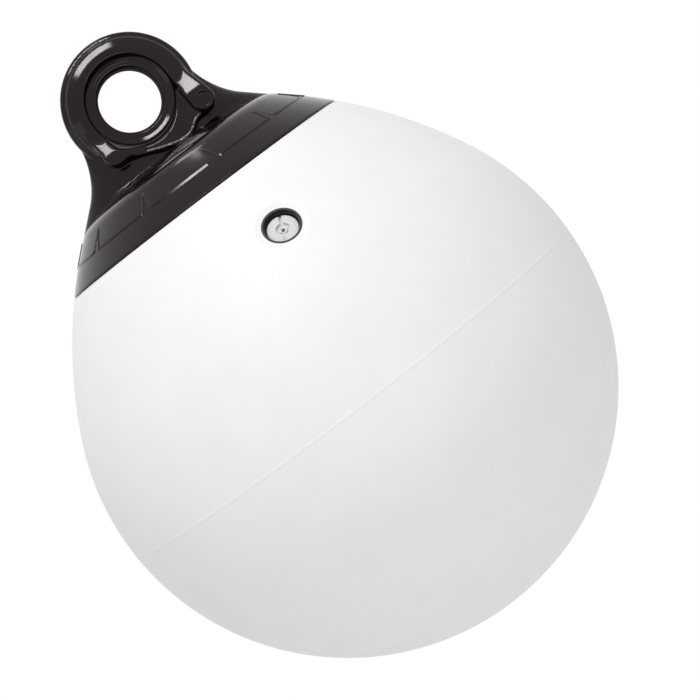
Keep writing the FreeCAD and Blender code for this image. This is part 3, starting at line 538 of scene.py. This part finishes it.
def ridge_stretch(start, end):
    """The raised line between two teeth, with a flat lower flank and tapered ends."""
    lean = math.asin((RIDGE_Z - SHOULDER_Z) / SHOULDER_RADIUS)
    radius = float(neck_half_width(RIDGE_Z))
    turns = np.linspace(start, end, RIDGE_ROWS)
    corners = len(RIDGE_SECTION)
    last = len(turns) - 1
    vertices = []
    for row, turn in enumerate(turns):
        size = RIDGE_END_SIZE if row in (0, last) else 1.0
        for height, down in RIDGE_SECTION:
            across = radius + size * (height * math.cos(lean) + down * math.sin(lean))
            z = RIDGE_Z + size * (height * math.sin(lean) - down * math.cos(lean))
            vertices.append((across * math.sin(turn), -across * math.cos(turn), z))
    faces = tube_sides(len(turns), corners)
    faces.append(tuple(range(corners))[::-1])
    faces.append(tuple(last * corners + side for side in range(corners)))
    return vertices, faces


def ridge_bars():
    """Two bars for each tooth, and the raised line from it to the next."""
    division = 2 * math.pi / TOOTH_COUNT
    share = np.linspace(0, 1, TOOTH_ROWS)[:, None]
    bars = []
    for tooth in range(TOOTH_COUNT):
        middle = TOOTH_AZIMUTH + tooth * division
        top = ridge_place(RIDGE_Z + TOOTH_RISE, middle)
        for side in (-1, 1):
            foot = ridge_place(RIDGE_Z, middle + side * TOOTH_HALF_TURN)
            bars.append(rounded_tube(foot * (1 - share) + top * share, RIDGE_RADIUS))
        bars.append(ridge_stretch(middle + TOOTH_HALF_TURN, middle + division - TOOTH_HALF_TURN))
    return bars


# The grid on which the field is sampled: fine round the eye, coarse over the skirt
GRID_FINE = 0.77
GRID_COARSE = 2.0
GRID_HALF = 92.5
EYE_HALF_ACROSS = 42
EYE_HALF_THROUGH = 27
GRID_UPRIGHT = ((-70.55, -66.95, 0.6), (-66.95, -42, 1.4), (-42, 39.8, GRID_FINE))


def level_grid(fine_half):
    """Places along a level axis, which are fine within a distance of the middle."""
    return spaced((-GRID_HALF, -fine_half, GRID_COARSE), (-fine_half, fine_half, GRID_FINE),
                  (fine_half, GRID_HALF, GRID_COARSE))


def make_cap():
    axes = (level_grid(EYE_HALF_ACROSS), level_grid(EYE_HALF_THROUGH), spaced(*GRID_UPRIGHT))
    points, faces = surface_net(cap_field, axes)
    points = points.tolist()
    faces = faces.tolist()
    for vertices, sides in ridge_bars():
        faces.extend([tuple(i + len(points) for i in side) for side in sides])
        points.extend([tuple(v) for v in vertices])
    cap = make_object("rope_eye", points, faces)
    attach(cap, "buoy")
    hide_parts("rope_eye_cap")
    return cap


# The bag: an outer and an inner skin, joined round the valve's hole

VALVE_OUT = Vector((math.sin(VALVE_AZIMUTH) * math.cos(VALVE_ELEVATION),
                    -math.cos(VALVE_AZIMUTH) * math.cos(VALVE_ELEVATION),
                    math.sin(VALVE_ELEVATION)))
VALVE_SIDE = Vector((0, 0, 1)).cross(VALVE_OUT).normalized()
VALVE_RISE = VALVE_OUT.cross(VALVE_SIDE).normalized()
VALVE_RADIUS = SHOULDER_X + SHOULDER_RADIUS * math.cos(VALVE_ELEVATION)
VALVE_HEIGHT = SHOULDER_Z + SHOULDER_RADIUS * math.sin(VALVE_ELEVATION)
VALVE_PLACE = Vector((math.sin(VALVE_AZIMUTH) * VALVE_RADIUS,
                      -math.cos(VALVE_AZIMUTH) * VALVE_RADIUS, VALVE_HEIGHT))

# The mesh's columns, and the block of them left open round the valve
COLUMNS = 240
PATCH_COLUMNS = 16
PATCH_HALF_HEIGHT = 21.0
CROWN_ROWS = 8
NECK_ROWS = 6
LAST_LATITUDE = math.radians(89.0)
# Rows on the shoulder; rows above the seam and the height where they end; the depth where the
# rows below it start, and their number
FINE_ROWS = (44, 24, 3.5, 8.5, 56)
PLAIN_ROWS = (24, 12, 2.0, 4.0, 30)
# The step under the skirt's edge: rounding, how far it stands out, its height, and the degrees
# from and to which it is rounded with the number of corners
STEP_ROUND = 0.6
STEP_STAND = 0.25
STEP_FALL = 1.6
STEP_TURNS = (90, 0, 4)
# The seam with the place where it fades, and the band of fine rows for it: its top and bottom
# from the ball's middle and the number of rows
SEAM_DROP = BALL_DROP + 2.5
SEAM_HEIGHT = 0.21
SEAM_WIDTH = 0.75
SEAM_FADE = 0.95
SEAM_FADE_AZIMUTH = -1.25
SEAM_FADE_TURN = 0.5
SEAM_BAND = (2.5, -7.5, 41)
# Rings of corners round the valve, on spokes: radii on the skins, radii and depths in the hole
SPOKES = 96
SPOKE_TURNS = np.linspace(-math.pi, math.pi, SPOKES, endpoint=False)
OUTER_RINGS = (20.0, 18.2, 16.6, 15.2, 14.3, 13.7, 13.2, 12.7, 12.2, 11.7, 11.3, 11.0)
INNER_RINGS = (20.0, 18.0, 16.0)
HOLE_RINGS = ((VALVE_HOLE + 0.02, 1.15), (VALVE_HOLE, 1.6), (VALVE_HOLE, BOSS_DEPTH),
              (BOSS_RADIUS, BOSS_DEPTH))
# The side of the valve's dish: its outer radius and its width
VALVE_DISH_EDGE = VALVE_DISH + 1.2
VALVE_DISH_RUN = 3.4
# Rounds of halving that find where the crown meets the neck, and rounds and rate at which a
# ring slides onto its skin
HALVINGS = 60
SLIDES = 12
SLIDE_RATE = 0.6


def neck_top(inset):
    """Height at which the crown's arc meets the neck's arc under the cap."""
    neck = SHOULDER_RADIUS - SKIRT_WALL - inset
    crown = CROWN_RADIUS - inset
    low, high = -SKIRT_DROP, -CROWN_DROP
    for _ in range(HALVINGS):
        middle = (low + high) / 2
        at_neck = SHOULDER_X + math.sqrt(neck ** 2 - (middle - SHOULDER_Z) ** 2)
        at_crown = math.sqrt(max(crown ** 2 - (middle - CROWN_CENTRE) ** 2, 0))
        low, high = (middle, high) if at_neck < at_crown else (low, middle)
    return middle


def bag_profile(inset, fine):
    """The bag's half section from its crown to its lowest point, as radius and height."""
    top = neck_top(inset)
    crown = CROWN_RADIUS - inset
    neck = SHOULDER_RADIUS - SKIRT_WALL - inset
    shoulder = SHOULDER_RADIUS - inset
    ball = BALL_RADIUS - inset
    shoulder_rows, upper_rows, upper_end, lower_start, lower_rows = FINE_ROWS if fine else PLAIN_ROWS
    points = []
    edge = math.asin(min((math.sqrt(crown ** 2 - (top - CROWN_CENTRE) ** 2)) / crown, 1))
    for turn in np.linspace(0, edge, CROWN_ROWS)[1:]:
        points.append((crown * math.sin(turn), CROWN_CENTRE + crown * math.cos(turn)))
    for z in np.linspace(top, -SKIRT_DROP, NECK_ROWS)[1:]:
        points.append((SHOULDER_X + math.sqrt(neck ** 2 - (z - SHOULDER_Z) ** 2), z))
    start = math.asin((-SKIRT_DROP - SHOULDER_Z) / shoulder)
    if fine:
        # The step under the skirt's edge, slightly rounded
        step_x = SHOULDER_X + shoulder * math.cos(start) + STEP_STAND - STEP_ROUND
        step_z = -SKIRT_DROP - STEP_ROUND
        for turn in np.radians(np.linspace(*STEP_TURNS)):
            points.append((step_x + STEP_ROUND * math.cos(turn),
                           step_z + STEP_ROUND * math.sin(turn)))
        start = math.asin((-SKIRT_DROP - STEP_FALL - SHOULDER_Z) / shoulder)
    for turn in np.linspace(start, SHOULDER_LATITUDE, shoulder_rows):
        points.append((SHOULDER_X + shoulder * math.cos(turn),
                       SHOULDER_Z + shoulder * math.sin(turn)))
    heights = list(np.linspace(ball * math.sin(SHOULDER_LATITUDE), upper_end, upper_rows)[1:])
    if fine:
        heights += list(np.linspace(*SEAM_BAND))
    for height in heights:
        points.append((math.sqrt(ball ** 2 - height ** 2), height - BALL_DROP))
    for turn in np.linspace(math.asin(lower_start / ball), LAST_LATITUDE, lower_rows):
        points.append((ball * math.cos(turn), -BALL_DROP - ball * math.sin(turn)))
    return np.array(points)


def skin_radius_at(z, inset):
    """Radius of a skin at a height: the ball's, or the shoulder's above the ball."""
    ball = np.sqrt(np.maximum((BALL_RADIUS - inset) ** 2 - (z + BALL_DROP) ** 2, 0))
    join = -BALL_DROP + BALL_RADIUS * math.sin(SHOULDER_LATITUDE)
    return np.where(z > join, shoulder_radius_at(z, inset), ball)


def skin_ring(radius, inset):
    """A ring of a skin round the valve's axis, dished on the outer skin."""
    across = radius * np.cos(SPOKE_TURNS)
    upward = radius * np.sin(SPOKE_TURNS)
    base = np.outer(across, VALVE_SIDE) + np.outer(upward, VALVE_RISE) + np.array(VALVE_PLACE)
    out = np.array(VALVE_OUT)
    slide = np.zeros(SPOKES)
    for _ in range(SLIDES):
        p = base + slide[:, None] * out
        reach = np.hypot(p[:, 0], p[:, 1])
        miss = reach - skin_radius_at(p[:, 2], inset)
        rate = (p[:, 0] * out[0] + p[:, 1] * out[1]) / reach + SLIDE_RATE * out[2]
        slide = slide - miss / rate
    ring = base + slide[:, None] * out
    if inset == 0.0:
        inward = smooth_step((VALVE_DISH_EDGE - radius) / VALVE_DISH_RUN)
        ring = ring - (VALVE_DISH_DEPTH * inward) * out
    return ring


def flat_ring(radius, depth):
    """A flat ring round the valve's axis, at a depth in the boss."""
    across = np.outer(radius * np.cos(SPOKE_TURNS), VALVE_SIDE)
    upward = np.outer(radius * np.sin(SPOKE_TURNS), VALVE_RISE)
    return np.array(VALVE_PLACE) + across + upward - depth * np.array(VALVE_OUT)


def add_ring(vertices, points):
    """Adds a ring's corners and returns their numbers."""
    start = len(vertices)
    vertices.extend(points.tolist())
    return [start + i for i in range(len(points))]


def add_skin(vertices, faces, inset, fine):
    """Adds one skin of the bag and returns the edge of its opening round the valve."""
    angles = np.linspace(0, 2 * math.pi, COLUMNS, endpoint=False) + VALVE_AZIMUTH - math.pi / 2
    profile = bag_profile(inset, fine)
    start = len(vertices)
    radii = np.repeat(profile[:, :1], COLUMNS, 1)
    heights = np.repeat(profile[:, 1:], COLUMNS, 1)
    if fine:
        # The fine raised seam, which fades on the left of the front
        facing = angles + math.pi / 2
        left = np.exp(-((facing - SEAM_FADE_AZIMUTH) / SEAM_FADE_TURN) ** 2)
        strength = SEAM_HEIGHT * (1 - SEAM_FADE * left)
        radii = radii + np.exp(-((heights + SEAM_DROP) / SEAM_WIDTH) ** 2) * strength[None, :]
    grid = np.stack([radii * np.cos(angles), radii * np.sin(angles), heights], 2)
    vertices.extend(grid.reshape(-1, 3).tolist())
    rows = len(profile)
    near = np.where(np.abs(profile[:, 1] - VALVE_HEIGHT) < PATCH_HALF_HEIGHT)[0]
    first, last = near[0], near[-1]
    half = PATCH_COLUMNS // 2

    def at(row, column):
        return start + row * COLUMNS + column % COLUMNS

    for row in range(rows - 1):
        for column in range(COLUMNS):
            offset = (column + COLUMNS // 2) % COLUMNS - COLUMNS // 2
            if first <= row < last and -half <= offset < half:
                continue
            quad = (at(row, column), at(row + 1, column),
                    at(row + 1, column + 1), at(row, column + 1))
            faces.append(quad if fine else quad[::-1])
    crown_z = -CROWN_DROP - inset
    lowest_z = -BALL_DROP - BALL_RADIUS + inset
    for row, z, turned in ((0, crown_z, not fine), (rows - 1, lowest_z, fine)):
        pole = len(vertices)
        vertices.append((0, 0, z))
        for column in range(COLUMNS):
            triangle = (pole, at(row, column), at(row, column + 1))
            faces.append(triangle[::-1] if turned else triangle)
    # The opening's edge, counter-clockwise from outside
    loop = [at(last, column) for column in range(-half, half)]
    loop += [at(row, half) for row in range(last, first, -1)]
    loop += [at(first, column) for column in range(half, -half, -1)]
    loop += [at(row, -half) for row in range(first, last)]
    return loop


def zip_loop(vertices, faces, loop, ring, flip):
    """Triangles between an opening's edge, of any number of corners, and the ring inside it."""
    corners = np.array([vertices[i] for i in loop]) - np.array(VALVE_PLACE)
    around = np.arctan2(corners @ np.array(VALVE_RISE), corners @ np.array(VALVE_SIDE))
    order = np.argsort(around)
    loop = [loop[i] for i in order]
    around = around[order]
    i = j = 0
    n, m = len(loop), len(ring)
    while i < n or j < m:
        next_loop = around[(i + 1) % n] + (2 * math.pi if i + 1 >= n else 0)
        next_ring = SPOKE_TURNS[(j + 1) % m] + (2 * math.pi if j + 1 >= m else 0)
        if j >= m or (i < n and next_loop <= next_ring):
            triangle = (loop[i % n], loop[(i + 1) % n], ring[j % m])
            i += 1
        else:
            triangle = (loop[i % n], ring[(j + 1) % m], ring[j % m])
            j += 1
        faces.append(triangle[::-1] if flip else triangle)


def make_bag():
    vertices, faces = [], []
    outer_loop = add_skin(vertices, faces, 0.0, True)
    inner_loop = add_skin(vertices, faces, BAG_WALL, False)
    # Rings from the outer opening over the dish, through the hole and round the boss to the inner one
    outer = [add_ring(vertices, skin_ring(radius, 0.0)) for radius in OUTER_RINGS]
    hole = [add_ring(vertices, flat_ring(radius, depth)) for radius, depth in HOLE_RINGS]
    inner = [add_ring(vertices, skin_ring(radius, BAG_WALL)) for radius in INNER_RINGS]
    rings = outer + hole + inner[::-1]
    zip_loop(vertices, faces, outer_loop, outer[0], False)
    for ring, following in zip(rings[:-1], rings[1:]):
        for i in range(SPOKES):
            j = (i + 1) % SPOKES
            faces.append((ring[i], ring[j], following[j], following[i]))
    zip_loop(vertices, faces, inner_loop, inner[0], True)
    bag = make_object("air_bag_skin", vertices, faces)
    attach(bag, "buoy")
    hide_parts("air_bag")
    return bag


# Materials

MOTTLE_SCALE = 35.0
POLISH_SCALE = 90.0
RAMP_STOPS = (0.3, 0.7)
GRAIN_DETAIL = 2.0
GRAIN_ROUGHNESS = 0.6
GRAIN_DISTANCE = 0.0002
# Where a rope rubs: distances from the eye's axis in millimetres, and the roughness there
RUB_FULL = HOLE_RADIUS + 0.1
RUB_END = HOLE_RADIUS + 1.2
RUB_ROUGHNESS = 0.95


def new_material(name):
    material = bpy.data.materials.new(name)
    material.use_nodes = True
    tree = material.node_tree
    shader = next(n for n in tree.nodes if n.type == "BSDF_PRINCIPLED")
    return material, tree, shader


def add_noise(tree, scale, detail=3.0, roughness=0.5):
    place = tree.nodes.new("ShaderNodeTexCoord")
    noise = tree.nodes.new("ShaderNodeTexNoise")
    noise.inputs["Scale"].default_value = scale
    noise.inputs["Detail"].default_value = detail
    noise.inputs["Roughness"].default_value = roughness
    tree.links.new(place.outputs["Object"], noise.inputs["Vector"])
    return noise.outputs["Fac"]


def add_ramp(tree, source, colours):
    ramp = tree.nodes.new("ShaderNodeValToRGB")
    for element, position, colour in zip(ramp.color_ramp.elements, RAMP_STOPS, colours):
        element.position = position
        element.color = colour
    tree.links.new(source, ramp.inputs["Fac"])
    return ramp.outputs["Color"]


def add_range(tree, source, from_min, from_max, to_min, to_max):
    spread = tree.nodes.new("ShaderNodeMapRange")
    spread.inputs["From Min"].default_value = from_min
    spread.inputs["From Max"].default_value = from_max
    spread.inputs["To Min"].default_value = to_min
    spread.inputs["To Max"].default_value = to_max
    tree.links.new(source, spread.inputs["Value"])
    return spread


def add_length(tree, source):
    length = tree.nodes.new("ShaderNodeVectorMath")
    length.operation = "LENGTH"
    tree.links.new(source, length.inputs[0])
    return length.outputs["Value"]


def grey(value):
    return (value, value, value, 1)


def rub_hole(tree, finish):
    """Roughness that turns matt on the hole's wall, where a rope rubs."""
    place = tree.nodes.new("ShaderNodeTexCoord")
    flatten = tree.nodes.new("ShaderNodeVectorMath")
    flatten.operation = "MULTIPLY"
    flatten.inputs[1].default_value = (1, 0, 1)
    tree.links.new(place.outputs["Object"], flatten.inputs[0])
    away = add_length(tree, flatten.outputs["Vector"])
    share = add_range(tree, away, RUB_FULL * MM, RUB_END * MM, 1.0, 0.0)
    mix = tree.nodes.new("ShaderNodeMix")
    mix.data_type = "FLOAT"
    mix.inputs["B"].default_value = RUB_ROUGHNESS
    tree.links.new(share.outputs[0], mix.inputs["Factor"])
    tree.links.new(finish, mix.inputs["A"])
    return mix.outputs["Result"]


def moulded(name, colours, roughness, specular, grain, strength, rubbed=False):
    """A moulded plastic: mottled colour, uneven polish and a fine grain."""
    material, tree, shader = new_material(name)
    tint = add_ramp(tree, add_noise(tree, MOTTLE_SCALE), colours)
    tree.links.new(tint, shader.inputs["Base Color"])
    finish = add_ramp(tree, add_noise(tree, POLISH_SCALE), [grey(value) for value in roughness])
    if rubbed:
        finish = rub_hole(tree, finish)
    tree.links.new(finish, shader.inputs["Roughness"])
    shader.inputs["Specular IOR Level"].default_value = specular
    bump = tree.nodes.new("ShaderNodeBump")
    bump.inputs["Strength"].default_value = strength
    bump.inputs["Distance"].default_value = GRAIN_DISTANCE
    fine = add_noise(tree, grain, GRAIN_DETAIL, GRAIN_ROUGHNESS)
    tree.links.new(fine, bump.inputs["Height"])
    tree.links.new(bump.outputs["Normal"], shader.inputs["Normal"])
    return material


def paint(target, material):
    target.data.materials.clear()
    target.data.materials.append(material)


# Lights, floor and surroundings, in metres

LIGHT_TARGET = Vector((0, 0, -0.15))
WHITE = (1, 1, 1, 1)
WORLD_FILL = 0.70
FLOOR_HALF = 12.0
FLOOR_Z = -0.80
FLOOR_COLOUR = (0.8, 0.8, 0.8, 1)
FLOOR_ROUGHNESS = 0.9
# Distances between which the floor turns white where it is seen, and how white it is near the buoy
SHADE_NEAR = 0.3
SHADE_FAR = 1.3
WHITE_NEAR = 0.55


def area_light(name, place, size, power, twist=0.0):
    data = bpy.data.lights.new(name, "AREA")
    data.shape = "RECTANGLE"
    data.size = size[0]
    data.size_y = size[1]
    data.energy = power
    lamp = link_object(name, data)
    toward = (Vector(place) - LIGHT_TARGET).normalized()
    aim = toward.to_track_quat("Z", "Y").to_matrix().to_4x4()
    lamp.matrix_world = Matrix.Translation(Vector(place)) @ aim @ Matrix.Rotation(twist, 4, "Z")
    lamp.visible_camera = False


def seen_directly(tree):
    """One where a ray comes from the camera, a mirror or glass, and zero elsewhere."""
    path = tree.nodes.new("ShaderNodeLightPath")
    total = path.outputs["Is Camera Ray"]
    for name in ("Is Glossy Ray", "Is Transmission Ray"):
        add = tree.nodes.new("ShaderNodeMath")
        add.operation = "MAXIMUM"
        tree.links.new(total, add.inputs[0])
        tree.links.new(path.outputs[name], add.inputs[1])
        total = add.outputs[0]
    return total


def add_plain(tree, kind, strength):
    """A white background or emission node."""
    plain = tree.nodes.new(kind)
    plain.inputs["Color"].default_value = WHITE
    plain.inputs["Strength"].default_value = strength
    return plain.outputs[0]


def mix_shaders(tree, share, first, second, output):
    mix = tree.nodes.new("ShaderNodeMixShader")
    tree.links.new(share, mix.inputs[0])
    tree.links.new(first, mix.inputs[1])
    tree.links.new(second, mix.inputs[2])
    tree.links.new(mix.outputs[0], output.inputs["Surface"])


def make_world():
    world = bpy.data.worlds.new("studio")
    bpy.context.scene.world = world
    world.use_nodes = True
    tree = world.node_tree
    tree.nodes.clear()
    fill = add_plain(tree, "ShaderNodeBackground", WORLD_FILL)
    white = add_plain(tree, "ShaderNodeBackground", 1.0)
    out = tree.nodes.new("ShaderNodeOutputWorld")
    mix_shaders(tree, seen_directly(tree), fill, white, out)


def make_floor():
    half = FLOOR_HALF
    corners = [(-half, -half), (half, -half), (half, half), (-half, half)]
    mesh = bpy.data.meshes.new("floor")
    mesh.from_pydata([(x, y, FLOOR_Z) for x, y in corners], [], [(0, 1, 2, 3)])
    floor = link_object("floor", mesh)
    material, tree, shader = new_material("pale_floor")
    shader.inputs["Base Color"].default_value = FLOOR_COLOUR
    shader.inputs["Roughness"].default_value = FLOOR_ROUGHNESS
    shader.inputs["Specular IOR Level"].default_value = 0.0
    # White where it is seen far behind, while the shadow under the buoy stays
    place = tree.nodes.new("ShaderNodeTexCoord")
    away = add_length(tree, place.outputs["Object"])
    spread = add_range(tree, away, SHADE_NEAR, SHADE_FAR, WHITE_NEAR, 1.0)
    spread.interpolation_type = "SMOOTHSTEP"
    share = tree.nodes.new("ShaderNodeMath")
    share.operation = "MULTIPLY"
    tree.links.new(spread.outputs[0], share.inputs[0])
    tree.links.new(seen_directly(tree), share.inputs[1])
    white = add_plain(tree, "ShaderNodeEmission", 1.0)
    out = next(n for n in tree.nodes if n.type == "OUTPUT_MATERIAL")
    mix_shaders(tree, share.outputs[0], shader.outputs[0], white, out)
    paint(floor, material)


def make_lights():
    area_light("key", (-0.01, -0.765, 1.11), (0.88, 0.065), 7.8, math.radians(7.0))
    area_light("top", (0.13, 0.25, 1.10), (0.24, 0.18), 1.0)
    area_light("low_fill", (0.10, -1.20, -0.75), (1.0, 0.5), 3.4)
    area_light("left_fill", (-1.25, -0.9, 0.10), (0.6, 0.6), 0.7)


make_camera()
make_world()
make_floor()
make_lights()

cap = make_cap()
bag = make_bag()
black = moulded("black_vinyl", ((0.0062, 0.0004, 0.0032, 1), (0.0092, 0.0016, 0.0054, 1)),
                (0.11, 0.14), specular=0.24, grain=900.0, strength=0.01, rubbed=True)
white = moulded("white_vinyl", ((0.845, 0.845, 0.850, 1), (0.865, 0.865, 0.865, 1)),
                (0.48, 0.56), specular=0.5, grain=1500.0, strength=0.35)
rubber = moulded("black_rubber", (grey(0.012), grey(0.016)),
                 (0.42, 0.5), specular=0.4, grain=1500.0, strength=0.2)
nylon = moulded("white_nylon", ((0.66, 0.66, 0.655, 1), (0.70, 0.70, 0.695, 1)),
                (0.34, 0.42), specular=0.5, grain=1500.0, strength=0.15)
paint(cap, black)
paint(bag, white)
paint(nodes["valve_body"], rubber)
paint(nodes["valve_seal"], rubber)
paint(nodes["needle_core"], rubber)
paint(nodes["valve_plug"], nylon)

view = bpy.context.scene.view_settings
view.view_transform = "Standard"
